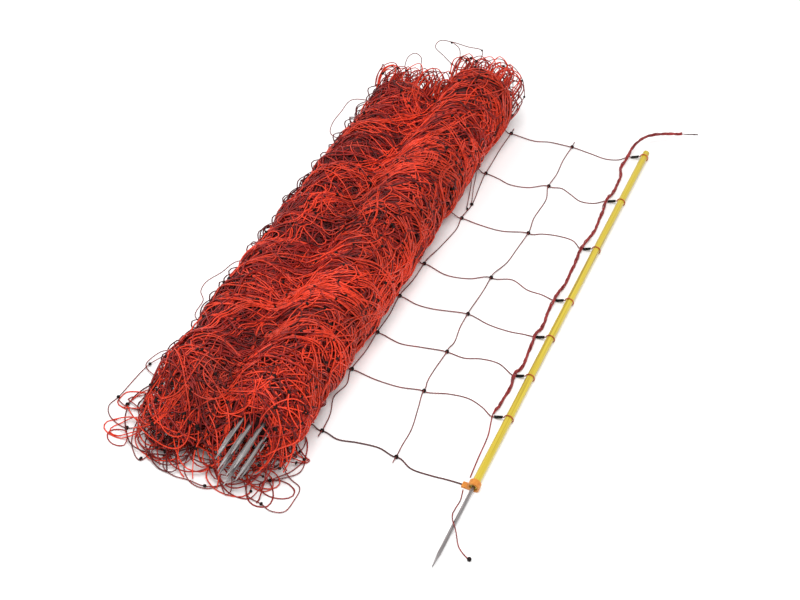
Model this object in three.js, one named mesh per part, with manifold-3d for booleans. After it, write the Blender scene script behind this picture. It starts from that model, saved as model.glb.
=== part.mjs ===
// Electric sheep netting, packed as it is sold: a folded bundle, its last stretch pulled out to the end post.
// Millimetres, +Z up. The bundle lies along Y on the floor z = 0, with its middle over the origin.
import * as THREE from "three";
import { mergeVertices } from "three/addons/utils/BufferGeometryUtils.js";
import Module from "manifold-3d";

const wasm = await Module();
wasm.setup();

// Clearance between pieces that touch
const gap = 0.3;

// The net: its level wires from the top down, and its twine
const netFoot = -410;
const wireSpacing = [150, 150, 150, 100, 100, 100, 150];
const netHeight = wireSpacing.reduce((sum, step) => sum + step, 0);
const twineDia = 2.2;
const footWireDia = 2.8;
const knotDia = 7.4;
const knotWall = 0.45;
const knotGrip = 7;
const stringStub = 14;
const stringSteps = 62;

// The end post: a yellow shaft with a steel spike
const postX = 400;
const shaftDia = 13;
const shaftLength = 920;
const shaftFoot = netFoot - 3;
const spikeDia = 6;
const spikeExposed = 165;
const spikeSeat = 45;
const spikePoint = 26;
const spikeTip = 0.8;
const spikeSides = 8;
const shaftSides = 24;
const footBevel = 0.8;
const topBevel = 1.2;

// The black sleeves that hold the net to the post, and the clip at its foot
const sleeveDia = 5;
const sleeveStart = 25;
const clipWidth = 11;
const clipThick = 3.2;
const clipReach = 20;
const clipSides = 20;

// The twisted lead down the post
const leadDia = 4.6;
const leadTailDia = 2.2;
const bareDia = 1.8;
const leadOffset = 2;
const leadSlack = 0.4;
const thinSlack = 0.6;
const leadClimb = 6;
const climbSteps = 3;
const thinOverlap = [6, -4];
const bareDrop = 2;
const leadSteps = 54;
const thinSteps = 14;
const bareSteps = 6;

// The bundle: two lobes side by side
const lobeOffset = 63;
const lobeWidth = 142;
const rightHeight = 152;
const leftHeight = 142;
const lobeSink = 9;
const foldHeight = 122;
const foldSetback = 14;
const rightEnds = [-498, 500];
const leftEnds = [-490, 412];
const boreDia = 74;
const boreDepth = 56;
const turnStep = 14;
const turnShares = [0.62, 0.8, 0.92, 1];
const swellSteps = [52, 38, 61, 45, 36, 57];
const swellDepths = [8, 4, 9, 5, 8, 6];
const swellLean = 0.35;
const leanStart = 42;
const leanFade = 168;
const turnLip = turnStep / 3;
const turnFlat = 0.6 * turnStep;
const lobeSides = 18;

// The net's loose ends, which drape off the bundle onto the floor at its near end
const drapeWidth = 300;
const drapeLength = 160;
const drapeHeight = 28;
const drapeShift = -24;
const drapeSides = 14;

// The spikes of the posts that are packed in the right lobe
const packedSeat = 38;
const packedPitch = 17;
const packedRise = 0.86 * packedPitch;
const packedShift = 0.1 * packedPitch;
const packedHole = packedSeat + 2;
const packedRows = [3, 4, 3, 3];
const packedReach = [88, 70, 92, 64, 96, 80, 102, 74, 90, 66, 84, 98, 76];

// Colours
const material = (name, colour, roughness, metalness = 0) =>
  new THREE.MeshStandardMaterial({ name, color: colour, roughness, metalness });
const twineRed = material("twine", 0xb02522, 0.6);
const footTwine = material("foot_twine", 0x7d1d1c, 0.6);
const knotBlack = material("knot", 0x1d1716, 0.55);
const shaftYellow = material("shaft", 0xe2c93f, 0.35);
const spikeSteel = material("spike", 0x8b8a88, 0.35, 1);
const sleeveBlack = material("sleeve", 0x121212, 0.5);
const clipOrange = material("clip", 0xd98a2b, 0.45);
const leadRed = material("lead", 0xa32a2a, 0.6);
const bareSteel = material("bare_steel", 0xa5a5a3, 0.3, 1);

// Solids are joined and cut as manifolds and given back as meshes
const group = new THREE.Group();

function solidOf(geometry) {
  const bare = geometry.clone();
  bare.deleteAttribute("normal");
  bare.deleteAttribute("uv");
  const merged = mergeVertices(bare, 1e-4);
  return new wasm.Manifold(new wasm.Mesh({
    numProp: 3,
    vertProperties: new Float32Array(merged.attributes.position.array),
    triVerts: new Uint32Array(merged.index.array),
  }));
}

function geometryOf(solid) {
  const mesh = solid.getMesh();
  const geometry = new THREE.BufferGeometry();
  geometry.setAttribute("position", new THREE.BufferAttribute(mesh.vertProperties, 3));
  geometry.setIndex(new THREE.BufferAttribute(mesh.triVerts, 1));
  return geometry;
}

function addPiece(name, geometry, look) {
  const mesh = new THREE.Mesh(geometry, look);
  mesh.name = name;
  group.add(mesh);
  return mesh;
}

// A round section of a given diameter, and a rod that follows a curve
const cordSides = 8;
const fewestSteps = 4;
const mostSteps = 80;
const flatShare = Math.cos(Math.PI / cordSides);

function roundSection(diameter, sides) {
  const section = new THREE.Shape();
  for (let i = 0; i < sides; i += 1) {
    const turn = (2 * Math.PI * i) / sides;
    const x = (diameter / 2) * Math.cos(turn);
    const y = (diameter / 2) * Math.sin(turn);
    if (i === 0) section.moveTo(x, y);
    else section.lineTo(x, y);
  }
  section.closePath();
  return section;
}

function rodAlong(curve, diameter, steps, sides = cordSides) {
  return new THREE.ExtrudeGeometry(roundSection(diameter, sides), { extrudePath: curve, steps });
}

function smooth(points) {
  return new THREE.CatmullRomCurve3(points, false, "centripetal");
}

function stepsFor(curve, stepLength) {
  return Math.min(mostSteps, Math.max(fewestSteps, Math.round(curve.getLength() / stepLength)));
}

const at = (x, y, z) => new THREE.Vector3(x, y, z);

// Heights of what lies on the floor: level wires run under the uprights, and a loop passes under the post
const floorGap = 0.2;
const layHeight = twineDia / 2 + floorGap;
const footLay = footWireDia / 2 + floorGap;
const wireAtKnot = 2 * floorGap + knotWall + gap + footWireDia / 2;
const uprightAtKnot = wireAtKnot + footWireDia / 2 + gap + twineDia / 2;
const knotHeight = (wireAtKnot + uprightAtKnot) / 2;
const loopRadius = shaftDia / 2 + gap + twineDia / 2;
const postHeight = loopRadius + twineDia / 2 + floorGap;

// Level of each wire along the post, the first at the top
const wireLevels = [netFoot + netHeight];
wireSpacing.forEach((step) => wireLevels.push(wireLevels.at(-1) - step));

// The lobes: each a turned roll whose turns step back at its ends, pressed flat below. Its layers swell and
// sink along it, and lean from side to side. The fold is the layers that lie across from one to the other
function lobeProfile(ends, diameter, firstSwell) {
  const [near, far] = ends;
  const radius = diameter / 2;
  const profile = [new THREE.Vector2(0, near + turnStep)];
  turnShares.forEach((share, i) => {
    profile.push(new THREE.Vector2(radius * share - turnLip, near + turnStep * i));
    profile.push(new THREE.Vector2(radius * share, near + turnStep * i + turnFlat));
  });
  const endLength = turnStep * (turnShares.length + 1);
  let valley = near + endLength;
  let swell = firstSwell;
  let step = swellSteps[swell];
  while (valley + step < far - endLength) {
    profile.push(new THREE.Vector2(radius - swellDepths[swell], valley));
    profile.push(new THREE.Vector2(radius, valley + step / 2));
    valley += step;
    swell = (swell + 1) % swellSteps.length;
    step = swellSteps[swell];
  }
  profile.push(new THREE.Vector2(radius - swellDepths[swell], valley));
  [...turnShares].reverse().forEach((share, i) => {
    const back = turnStep * (turnShares.length - 1 - i);
    profile.push(new THREE.Vector2(radius * share, far - back - turnFlat));
    profile.push(new THREE.Vector2(radius * share - turnLip, far - back));
  });
  profile.push(new THREE.Vector2(0, far - turnStep));
  return profile;
}

function leanTurns(geometry, [near, far], lean) {
  const places = geometry.attributes.position;
  for (let i = 0; i < places.count; i += 1) {
    const y = places.getY(i);
    const inside = Math.max(0, Math.min(y - near, far - y) - leanStart);
    places.setY(i, y + lean * places.getX(i) * Math.min(1, inside / leanFade));
  }
}

function lobe(centreX, height, ends, lean, firstSwell) {
  const fullHeight = height + lobeSink;
  const turned = new THREE.LatheGeometry(lobeProfile(ends, fullHeight, firstSwell), lobeSides);
  turned.scale(lobeWidth / fullHeight, 1, 1);
  leanTurns(turned, ends, lean);
  turned.translate(centreX, 0, fullHeight / 2 - lobeSink);
  return solidOf(turned);
}

const floorCutDepth = 60;
const floorCut = new THREE.BoxGeometry(4 * lobeWidth, 2 * (rightEnds[1] - rightEnds[0]), floorCutDepth);
floorCut.translate(0, 0, -floorCutDepth / 2);
const foldEnds = [leftEnds[0] + foldSetback, leftEnds[1] - foldSetback];

const rightCentre = (rightHeight - lobeSink) / 2;
const packedHoles = [];
const packedSpikes = [];
const rowTop = rightCentre + (packedRise * (packedRows.length - 1)) / 2;
let packedCount = 0;
packedRows.forEach((number, row) => {
  for (let i = 0; i < number; i += 1) {
    const x = lobeOffset + packedPitch * (i - (number - 1) / 2) + (row % 2 ? 0 : packedShift);
    const z = rowTop - packedRise * row;
    const tip = rightEnds[0] - packedReach[packedCount % packedReach.length];
    packedSpikes.push({ x, z, tip, foot: rightEnds[0] + turnStep + boreDepth + packedSeat });
    packedCount += 1;
  }
});

function spikeRod(x, z, foot, tip) {
  const profile = [
    new THREE.Vector2(0, 0),
    new THREE.Vector2(spikeDia / 2, 0),
    new THREE.Vector2(spikeDia / 2, foot - tip - spikePoint),
    new THREE.Vector2(spikeTip, foot - tip - spikeTip),
    new THREE.Vector2(0, foot - tip),
  ];
  const rod = new THREE.LatheGeometry(profile, spikeSides);
  rod.rotateX(Math.PI);
  rod.translate(x, foot, z);
  return rod;
}

packedSpikes.forEach(({ x, z, foot }) => {
  const width = spikeDia / 2 + gap;
  const hole = new THREE.CylinderGeometry(width, width, packedHole + gap, spikeSides);
  hole.translate(x, foot + gap - (packedHole + gap) / 2, z);
  packedHoles.push(solidOf(hole));
});

const rightLobe = lobe(lobeOffset, rightHeight, rightEnds, -swellLean, 0);
const leftLobe = lobe(-lobeOffset, leftHeight, leftEnds, swellLean, 3);
const fold = lobe(0, foldHeight, foldEnds, 0, 1);
const bore = new THREE.CylinderGeometry(boreDia / 2, boreDia / 2, boreDepth + turnStep, lobeSides);
bore.translate(lobeOffset, rightEnds[0] + (boreDepth + turnStep) / 2, rightCentre);
const drape = new THREE.SphereGeometry(1, drapeSides, drapeSides / 2);
drape.scale(drapeWidth / 2, drapeLength / 2, drapeHeight);
drape.translate(drapeShift, rightEnds[0], 0);
const draped = rightLobe.add(leftLobe).add(fold).add(solidOf(drape));
const wholeBundle = draped.subtract(solidOf(floorCut)).subtract(solidOf(bore));
const bundleWays = [...packedHoles];

packedSpikes.forEach(({ x, z, foot, tip }, i) => {
  addPiece(`packed_spike_${i + 1}`, spikeRod(x, z, foot, tip), spikeSteel);
});

// Side of the right lobe at a height above the floor
function lobeFlank(z) {
  const half = (rightHeight + lobeSink) / 2;
  const rise = (z - rightCentre) / half;
  return lobeOffset + (lobeWidth / 2) * Math.sqrt(1 - rise * rise);
}

// Knots of the two upright strings: how far left of the post and off its level each lies
const firstKnots = [[270, -26], [270, -17], [262, -11], [276, -7], [282, -3], [280, -2], [283, 1], [268, 8]];
const secondKnots = [[143, -18], [144, -4], [132, 0], [151, 8], [154, 4], [152, 4], [152, 5], [136, 7]];

// The wires' wander, in the same way: from the first knot to the second, and from there to the sleeve
const middleRoutes = [
  [[220, -28], [190, -19]],
  [[243, -20], [215, -28], [180, -22]],
  [[228, -13], [182, -13]],
  [[229, -17], [187, -9]],
  [[248, -9], [218, -8]],
  [[234, -9], [200, -3]],
  [[238, -3], [193, -2]],
  [[238, 3], [205, 10], [169, 14]],
];
const lastRoutes = [
  [[103, -21], [70, -25], [46, -17]],
  [[120, 2], [98, -8], [74, -20], [48, -15]],
  [[109, 10], [80, 17], [50, 16]],
  [[115, 20], [80, 6], [52, 5]],
  [[111, -4], [72, -5], [46, -1]],
  [[120, 4], [93, 14], [62, 16]],
  [[113, 17], [78, 21], [50, 12]],
  [[106, -4], [72, -4], [44, -1]],
];

// The uprights' wander between their knots, as the distance left of the post and the level
const firstUpright = [
  [[273, 410], [272, 372]],
  [[268, 290], [260, 225]],
  [[260, 150], [268, 90]],
  [],
  [],
  [],
  [[277, -292], [284, -325], [273, -362]],
];
const secondUpright = [
  [[146, 430], [143, 380]],
  [[136, 300], [138, 235]],
  [[136, 150], [140, 100]],
  [[152, 15]],
  [[155, -88], [150, -128]],
  [[156, -200], [156, -232]],
  [[147, -290], [138, -340], [138, -378]],
];

const knotPoint = ([reach, drift], level) => ({ x: postX - reach, y: wireLevels[level] + drift });

// Each level wire: out of the bundle, through its two knots and its sleeve, and round the post
const loopTurn = 1.7 * Math.PI;
const loopPoints = 11;
const loopShift = 0.8;
const wayClearance = 2 * gap;
const wireStep = 16;
const wireRise = layHeight + 6;
const stringSeat = 10;
const startDrift = 3;
const sleeveApproach = 5;
const loopRise = 0.5;
const lugRise = 0.6;
const lugSlack = 0.4;
const sleeveStop = loopRadius + 3;
const sleeveStopHeight = postHeight - 1.5;
const sleeveLow = Math.max(layHeight, sleeveDia / 2 + floorGap);
const wireCurves = [];
const wireWays = [];

// The way that a strand needs through a knot or a sleeve: the strand itself, a clearance wider
function wayFor(curve, diameter, steps) {
  return solidOf(rodAlong(curve, (diameter + wayClearance) / flatShare, steps));
}

function endRoom(curve, share, diameter) {
  const room = new THREE.IcosahedronGeometry((diameter / 2 + wayClearance) / flatShare, 0);
  const place = curve.getPointAt(share);
  return solidOf(room.translate(place.x, place.y, place.z));
}

function wireRoute(level) {
  const y = wireLevels[level];
  const foot = level === wireLevels.length - 1;
  const lay = foot ? footLay : layHeight;
  const first = knotPoint(firstKnots[level], level);
  const second = knotPoint(secondKnots[level], level);
  const startX = lobeFlank(wireRise) - stringSeat;
  const points = [at(startX, first.y + startDrift, wireRise)];
  points.push(at((startX + first.x) / 2, first.y + startDrift - 1, wireRise));
  points.push(at(first.x - knotGrip, first.y, wireAtKnot));
  points.push(at(first.x + knotGrip, first.y, wireAtKnot));
  middleRoutes[level].forEach(([reach, drift]) => points.push(at(postX - reach, y + drift, lay)));
  points.push(at(second.x - knotGrip, second.y, wireAtKnot));
  points.push(at(second.x + knotGrip, second.y, wireAtKnot));
  lastRoutes[level].forEach(([reach, drift]) => points.push(at(postX - reach, y + drift, lay)));
  return points;
}

function loopCurve(y) {
  const points = [];
  for (let i = 0; i <= loopPoints; i += 1) {
    const turn = (loopTurn * i) / loopPoints;
    const x = postX - loopRadius * Math.cos(turn);
    points.push(at(x, y - (loopShift * i) / loopPoints, postHeight + loopRadius * Math.sin(turn)));
  }
  return smooth(points);
}

wireLevels.forEach((y, level) => {
  const points = wireRoute(level);
  if (level === wireLevels.length - 1) {
    points.push(at(postX - clipReach - gap - lugSlack, y, footLay + lugRise));
    const curve = smooth(points);
    const steps = stepsFor(curve, wireStep);
    wireWays.push(wayFor(curve, footWireDia, steps));
    bundleWays.push(wireWays[level], endRoom(curve, 0, footWireDia));
    addPiece(`line_wire_${level + 1}`, rodAlong(curve, footWireDia, steps), footTwine);
    return;
  }
  points.push(at(postX - sleeveStart - sleeveApproach, y - 1, sleeveLow));
  points.push(at(postX - sleeveStart, y, sleeveLow));
  points.push(at(postX - sleeveStop, y, sleeveStopHeight));
  points.push(at(postX - loopRadius, y, postHeight + loopRise));
  const curve = smooth(points);
  const steps = stepsFor(curve, wireStep);
  wireCurves.push(curve);
  wireWays.push(wayFor(curve, twineDia, steps));
  bundleWays.push(wireWays[level], endRoom(curve, 0, twineDia));
  const wire = solidOf(rodAlong(curve, twineDia, steps));
  const loop = solidOf(rodAlong(loopCurve(y), twineDia, loopPoints));
  addPiece(`line_wire_${level + 1}`, geometryOf(wire.add(loop)), twineRed);
});

// The two upright strings, laid over the wires
function uprightCurve(knots, routes) {
  const top = knotPoint(knots[0], 0);
  const points = [at(top.x, top.y + stringStub, uprightAtKnot)];
  knots.forEach((knot, level) => {
    const { x, y } = knotPoint(knot, level);
    points.push(at(x, y + knotGrip, uprightAtKnot));
    points.push(at(x, y - knotGrip, uprightAtKnot));
    (routes[level] ?? []).forEach(([reach, along]) => points.push(at(postX - reach, along, layHeight)));
    if (level < knots.length - 1 && routes[level].length === 0) {
      const next = knotPoint(knots[level + 1], level + 1);
      points.push(at((x + next.x) / 2 + 1, (y + next.y) / 2, layHeight + loopRise));
    }
  });
  const foot = knotPoint(knots.at(-1), knots.length - 1);
  points.push(at(foot.x, foot.y - stringStub, uprightAtKnot));
  return smooth(points);
}

const uprightCurves = [uprightCurve(firstKnots, firstUpright), uprightCurve(secondKnots, secondUpright)];
const stringWays = uprightCurves.map((curve) => wayFor(curve, twineDia, stringSteps));
uprightCurves.forEach((curve, i) => {
  addPiece(`upright_string_${i + 1}`, rodAlong(curve, twineDia, stringSteps), twineRed);
});

// A moulded knot where an upright crosses a wire, with both strands running through it
[firstKnots, secondKnots].forEach((knots, side) => {
  knots.forEach((knot, level) => {
    const { x, y } = knotPoint(knot, level);
    const ball = new THREE.IcosahedronGeometry(knotDia / 2, 1);
    ball.translate(x, y, knotHeight);
    const solid = solidOf(ball).subtract(wireWays[level]).subtract(stringWays[side]);
    addPiece(`knot_${side + 1}_${level + 1}`, geometryOf(solid), knotBlack);
  });
});

// The end post
const shaft = new THREE.LatheGeometry([
  new THREE.Vector2(spikeDia / 2 + gap, 0),
  new THREE.Vector2(shaftDia / 2 - footBevel, 0),
  new THREE.Vector2(shaftDia / 2, footBevel),
  new THREE.Vector2(shaftDia / 2, shaftLength - topBevel),
  new THREE.Vector2(shaftDia / 2 - topBevel, shaftLength),
  new THREE.Vector2(0, shaftLength),
  new THREE.Vector2(0, spikeSeat + gap),
  new THREE.Vector2(spikeDia / 2 + gap, spikeSeat + gap),
  new THREE.Vector2(spikeDia / 2 + gap, 0),
], shaftSides);
shaft.translate(postX, shaftFoot, postHeight);
addPiece("post_shaft", shaft, shaftYellow);
const postSpike = spikeRod(postX, postHeight, shaftFoot + spikeSeat, shaftFoot - spikeExposed);
addPiece("post_spike", postSpike, spikeSteel);

// The black sleeves between the net and the post
const sleeveLength = sleeveStart - sleeveStop;
wireLevels.slice(0, -1).forEach((y, level) => {
  const curve = wireCurves[level];
  const reach = new THREE.BoxGeometry(sleeveLength, 4 * sleeveDia, 4 * postHeight);
  reach.translate(postX - sleeveStop - sleeveLength / 2, y, postHeight);
  const outer = solidOf(rodAlong(curve, sleeveDia, stepsFor(curve, wireStep))).intersect(solidOf(reach));
  addPiece(`sleeve_${level + 1}`, geometryOf(outer.subtract(wireWays[level])), sleeveBlack);
});

// The clip at the foot of the shaft: a band round it with a lug that holds the foot wire and the lead
const band = new THREE.Shape();
band.absarc(0, 0, shaftDia / 2 + gap + clipThick, 0, 2 * Math.PI);
const bandBore = new THREE.Path();
bandBore.absarc(0, 0, shaftDia / 2 + gap, 0, 2 * Math.PI, true);
band.holes.push(bandBore);
const bandShape = { depth: clipWidth, bevelEnabled: false, curveSegments: clipSides / 2 };
const bandSolid = new THREE.ExtrudeGeometry(band, bandShape);
bandSolid.rotateX(Math.PI / 2);
bandSolid.translate(postX, netFoot + clipWidth / 2, postHeight);
const lugLength = clipReach - shaftDia / 2 - gap;
const lug = new THREE.BoxGeometry(lugLength, clipWidth, 2 * footLay);
lug.translate(postX - clipReach + lugLength / 2, netFoot, footLay + lugRise);
const clipFloor = new THREE.BoxGeometry(4 * clipReach, 4 * clipWidth, clipReach);
clipFloor.translate(postX, netFoot, floorGap - clipReach / 2);
const clipSolid = solidOf(bandSolid).add(solidOf(lug)).subtract(solidOf(clipFloor));
const clipHole = shaftDia / 2 + gap;
const clipBore = new THREE.CylinderGeometry(clipHole, clipHole, 2 * clipWidth, clipSides);
clipBore.translate(postX, netFoot, postHeight);
addPiece("foot_clip", geometryOf(clipSolid.subtract(solidOf(clipBore))), clipOrange);

// The twisted lead: up beside the post from its foot clip, over each wire, and out past the top to a bare end
const overWire = sleeveLow + sleeveDia / 2 + gap + leadDia / 2 + leadSlack;
const overThin = sleeveLow + sleeveDia / 2 + gap + leadTailDia / 2 + thinSlack;
const leadX = postX - sleeveStart - leadOffset;
const leadLay = leadDia / 2 + floorGap;
const leadWander = [
  [[-34, 450], [-27, 425], [-24, 375]],
  [[-24, 290], [-22, 240]],
  [[-26, 150], [-24, 90]],
  [[-27, 5], [-24, -35]],
  [[-25, -95], [-23, -140]],
  [[-24, -190], [-26, -228]],
];
const leadRise = [
  [-31, 478], [-29, 495], [-26, 508],
  [-18, 523], [-8, 538], [6, 552],
  [24, 561], [40, 567], [52, 573],
];
const leadEnd = [[60, 578], [70, 585], [80, 592]];
const leadTail = [[-20, -300], [-17, -350], [-14, -392]];
const lowestHeld = wireLevels.length - 2;
const leadPoints = [at(leadX, wireLevels[lowestHeld], overWire)];
for (let level = lowestHeld - 1; level >= 0; level -= 1) {
  const wander = [...leadWander[level]].reverse();
  wander.forEach(([x, y]) => leadPoints.push(at(postX + x, y, leadLay + leadSlack)));
  if (level > 0) leadPoints.push(at(leadX, wireLevels[level], overWire));
}
leadRise.forEach(([x, y], i) => {
  leadPoints.push(at(postX + x, y, overWire + Math.min(i, climbSteps) * leadClimb));
});
const twisted = smooth(leadPoints);
const lowPoints = [at(leadX, wireLevels[lowestHeld] + thinOverlap[0], overWire)];
lowPoints.push(at(leadX, wireLevels[lowestHeld] + thinOverlap[1], overThin));
leadTail.forEach(([x, y]) => lowPoints.push(at(postX + x, y, leadTailDia / 2 + floorGap + gap)));
const low = smooth(lowPoints);
const thinStrand = solidOf(rodAlong(low, leadTailDia, thinSteps));
const lead = solidOf(rodAlong(twisted, leadDia, leadSteps)).add(thinStrand);
addPiece("connection_lead", geometryOf(lead), leadRed);

const leadTop = leadPoints.at(-1);
const bareStart = leadTop.clone().addScaledVector(twisted.getTangentAt(1), gap);
const bareRoute = leadEnd.map(([x, y], i) => at(postX + x, y, leadTop.z - bareDrop * (i + 1)));
const bare = smooth([bareStart, ...bareRoute]);
addPiece("lead_bare_end", rodAlong(bare, bareDia, bareSteps), bareSteel);

// The string's loose tail at the foot of the post, which crosses the spike and ends in a knot
const tailLay = twineDia / 2 + floorGap;
const tailSlack = 0.5;
const tailSteps = 20;
const overSpike = postHeight + spikeDia / 2 + gap + twineDia / 2 + tailSlack;
const tailPath = [[-15, -9], [-11, -30], [-12, -50]];
const tailOver = [[-8, -70], [-4, -79], [3, -88], [9, -97]];
const tailFar = [[20, -112], [31, -121], [40, -126]];
const tailPoints = tailPath.map(([x, y]) => at(postX + x, netFoot + y, tailLay));
tailOver.forEach(([x, y]) => tailPoints.push(at(postX + x, netFoot + y, overSpike)));
tailFar.forEach(([x, y]) => tailPoints.push(at(postX + x, netFoot + y, tailLay)));
const tail = smooth(tailPoints);
addPiece("loose_tail", rodAlong(tail, twineDia, tailSteps), twineRed);
const tailEnd = tail.getPointAt(1);
const tailKnot = new THREE.IcosahedronGeometry(knotDia / 2, 1);
const tailStep = tail.getTangentAt(1).multiplyScalar(knotDia / 2 + gap);
tailKnot.translate(tailEnd.x + tailStep.x, tailEnd.y + tailStep.y, knotDia / 2 + floorGap);
addPiece("tail_knot", tailKnot, knotBlack);

// Loops of the net's edge strings that stand out of the bundle's ends and side
const edgeLoops = [
  [
    [-92, -380, 7], [-150, -374, 3], [-205, -392, 2], [-214, -450, 2],
    [-208, -496, 2], [-150, -500, 3], [-90, -440, 7],
  ],
  [
    [-60, -455, 8], [-70, -500, 3], [-104, -530, 2], [-106, -573, 2],
    [-72, -566, 2], [-44, -530, 2], [-36, -455, 8],
  ],
  [
    [22, -465, 12], [2, -520, 2], [-2, -560, 2], [14, -588, 2],
    [50, -582, 2], [52, -530, 2], [40, -465, 9],
  ],
  [
    [84, -465, 8], [98, -530, 2], [114, -574, 2], [146, -572, 2],
    [156, -524, 2], [136, -470, 2], [96, -440, 7],
  ],
  [
    [-84, 388, 66], [-90, 440, 58], [-84, 492, 52], [-52, 512, 52],
    [-32, 474, 58], [-40, 388, 66],
  ],
  [
    [46, 476, 92], [36, 530, 84], [56, 562, 78], [90, 540, 80],
    [94, 476, 88],
  ],
];
const loopSteps = 12;
const grooveDrop = 1.6;
edgeLoops.forEach((points, i) => {
  const curve = smooth(points.map(([x, y, z]) => at(x, y, Math.max(z, layHeight))));
  const way = wayFor(curve, twineDia, loopSteps);
  bundleWays.push(way, way.translate([0, 0, -grooveDrop]));
  bundleWays.push(endRoom(curve, 0, twineDia), endRoom(curve, 1, twineDia));
  addPiece(`edge_loop_${i + 1}`, rodAlong(curve, twineDia, loopSteps), twineRed);
});

const bundle = bundleWays.reduce((solid, way) => solid.subtract(way), wholeBundle);
addPiece("netting_bundle", geometryOf(bundle), twineRed);

export default group;
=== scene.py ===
# Looks of the electric sheep netting: a packed bundle of red netting with its last stretch pulled out to the
# end post. Metres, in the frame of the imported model: the bundle and the post lie along Y on the floor z = 0.
import math
import random

import bmesh
import bpy
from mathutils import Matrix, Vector, noise


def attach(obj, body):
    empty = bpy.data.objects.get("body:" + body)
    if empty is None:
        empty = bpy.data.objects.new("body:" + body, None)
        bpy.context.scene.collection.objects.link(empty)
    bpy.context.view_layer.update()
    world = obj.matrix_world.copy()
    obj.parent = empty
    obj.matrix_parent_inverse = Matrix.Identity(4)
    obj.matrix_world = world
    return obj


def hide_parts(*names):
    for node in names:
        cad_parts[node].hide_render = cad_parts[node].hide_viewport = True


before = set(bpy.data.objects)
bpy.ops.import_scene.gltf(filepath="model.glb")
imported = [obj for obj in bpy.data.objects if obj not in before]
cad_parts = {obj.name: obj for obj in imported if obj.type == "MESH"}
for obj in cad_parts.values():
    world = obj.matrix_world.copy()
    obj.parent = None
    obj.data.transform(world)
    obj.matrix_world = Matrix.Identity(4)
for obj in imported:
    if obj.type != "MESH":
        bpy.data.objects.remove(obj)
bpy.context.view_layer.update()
scene = bpy.context.scene

# Camera: the photograph's view, from the lower right of the pulled-out stretch, looking down over the bundle.
camera_data = bpy.data.cameras.new("camera")
camera_data.sensor_width = 36.0
camera_data.lens = 62.4
camera_data.clip_end = 50.0
camera = bpy.data.objects.new("camera", camera_data)
camera.location = (0.8467, -1.691, 1.7126)
camera.rotation_euler = (math.radians(90 - 43.95), 0.0, math.radians(24.11))
scene.collection.objects.link(camera)
scene.camera = camera


# Strands: the net is knitted from a round twine of three red plies with fine steel and dark tracer filaments.
# A cord is swept as three twisted plies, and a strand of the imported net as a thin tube, each along its own
# line: the centripetal curve through the points that the construction gives.
MM = 0.001
CURVE_STEPS = 24
PLIES = 3
PLY_DIP = 0.2
PLY_POINTS = 12


def smooth_line(points, step):
    """Evenly spaced points on the centripetal Catmull-Rom curve through the given points."""
    points = [Vector(p) for p in points]
    first = points[0] * 2 - points[1]
    last = points[-1] * 2 - points[-2]
    ring = [first] + points + [last]
    dense = [points[0]]
    for i in range(1, len(ring) - 2):
        p0, p1, p2, p3 = ring[i - 1:i + 3]
        t1 = max((p1 - p0).length, 1e-6) ** 0.5
        t2 = t1 + max((p2 - p1).length, 1e-6) ** 0.5
        t3 = t2 + max((p3 - p2).length, 1e-6) ** 0.5
        for k in range(1, CURVE_STEPS + 1):
            t = t1 + (t2 - t1) * k / CURVE_STEPS
            a1 = p0 * ((t1 - t) / t1) + p1 * (t / t1)
            a2 = p1 * ((t2 - t) / (t2 - t1)) + p2 * ((t - t1) / (t2 - t1))
            a3 = p2 * ((t3 - t) / (t3 - t2)) + p3 * ((t - t2) / (t3 - t2))
            b1 = a1 * ((t2 - t) / t2) + a2 * (t / t2)
            b2 = a2 * ((t3 - t) / (t3 - t1)) + a3 * ((t - t1) / (t3 - t1))
            dense.append(b1 * ((t2 - t) / (t2 - t1)) + b2 * ((t - t1) / (t2 - t1)))
    return even_line(dense, step)


def even_line(dense, step):
    """The same line with its points about one step apart."""
    lengths = [0.0]
    for a, b in zip(dense, dense[1:]):
        lengths.append(lengths[-1] + (b - a).length)
    count = max(3, round(lengths[-1] / step))
    line = []
    j = 0
    for i in range(count + 1):
        goal = lengths[-1] * i / count
        while j < len(dense) - 2 and lengths[j + 1] < goal:
            j += 1
        part = (goal - lengths[j]) / max(lengths[j + 1] - lengths[j], 1e-9)
        line.append(dense[j].lerp(dense[j + 1], min(1.0, part)))
    return line


def sweep(name, lines, radius, section=None, turn_per_metre=0.0, sides=4):
    """A mesh swept along one or more lines: round, or with a given section that turns as it goes."""
    curve = bpy.data.curves.new(name, "CURVE")
    curve.dimensions = "3D"
    curve.use_fill_caps = True
    if section is None:
        curve.bevel_depth = radius
        curve.bevel_resolution = max(0, sides // 2 - 2)
    else:
        curve.bevel_mode = "OBJECT"
        curve.bevel_object = section
    for line in lines:
        spline = curve.splines.new("POLY")
        spline.points.add(len(line) - 1)
        flat = [c for p in line for c in (p[0], p[1], p[2], 1.0)]
        spline.points.foreach_set("co", flat)
        if turn_per_metre:
            gone = 0.0
            for i, point in enumerate(spline.points):
                if i:
                    gone += (line[i] - line[i - 1]).length
                point.tilt = gone * turn_per_metre
    holder = bpy.data.objects.new(name, curve)
    scene.collection.objects.link(holder)
    graph = bpy.context.evaluated_depsgraph_get()
    mesh = bpy.data.meshes.new_from_object(holder.evaluated_get(graph))
    bpy.data.objects.remove(holder)
    bpy.data.curves.remove(curve)
    piece = bpy.data.objects.new(name, mesh)
    scene.collection.objects.link(piece)
    mesh.shade_smooth()
    return piece


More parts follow.
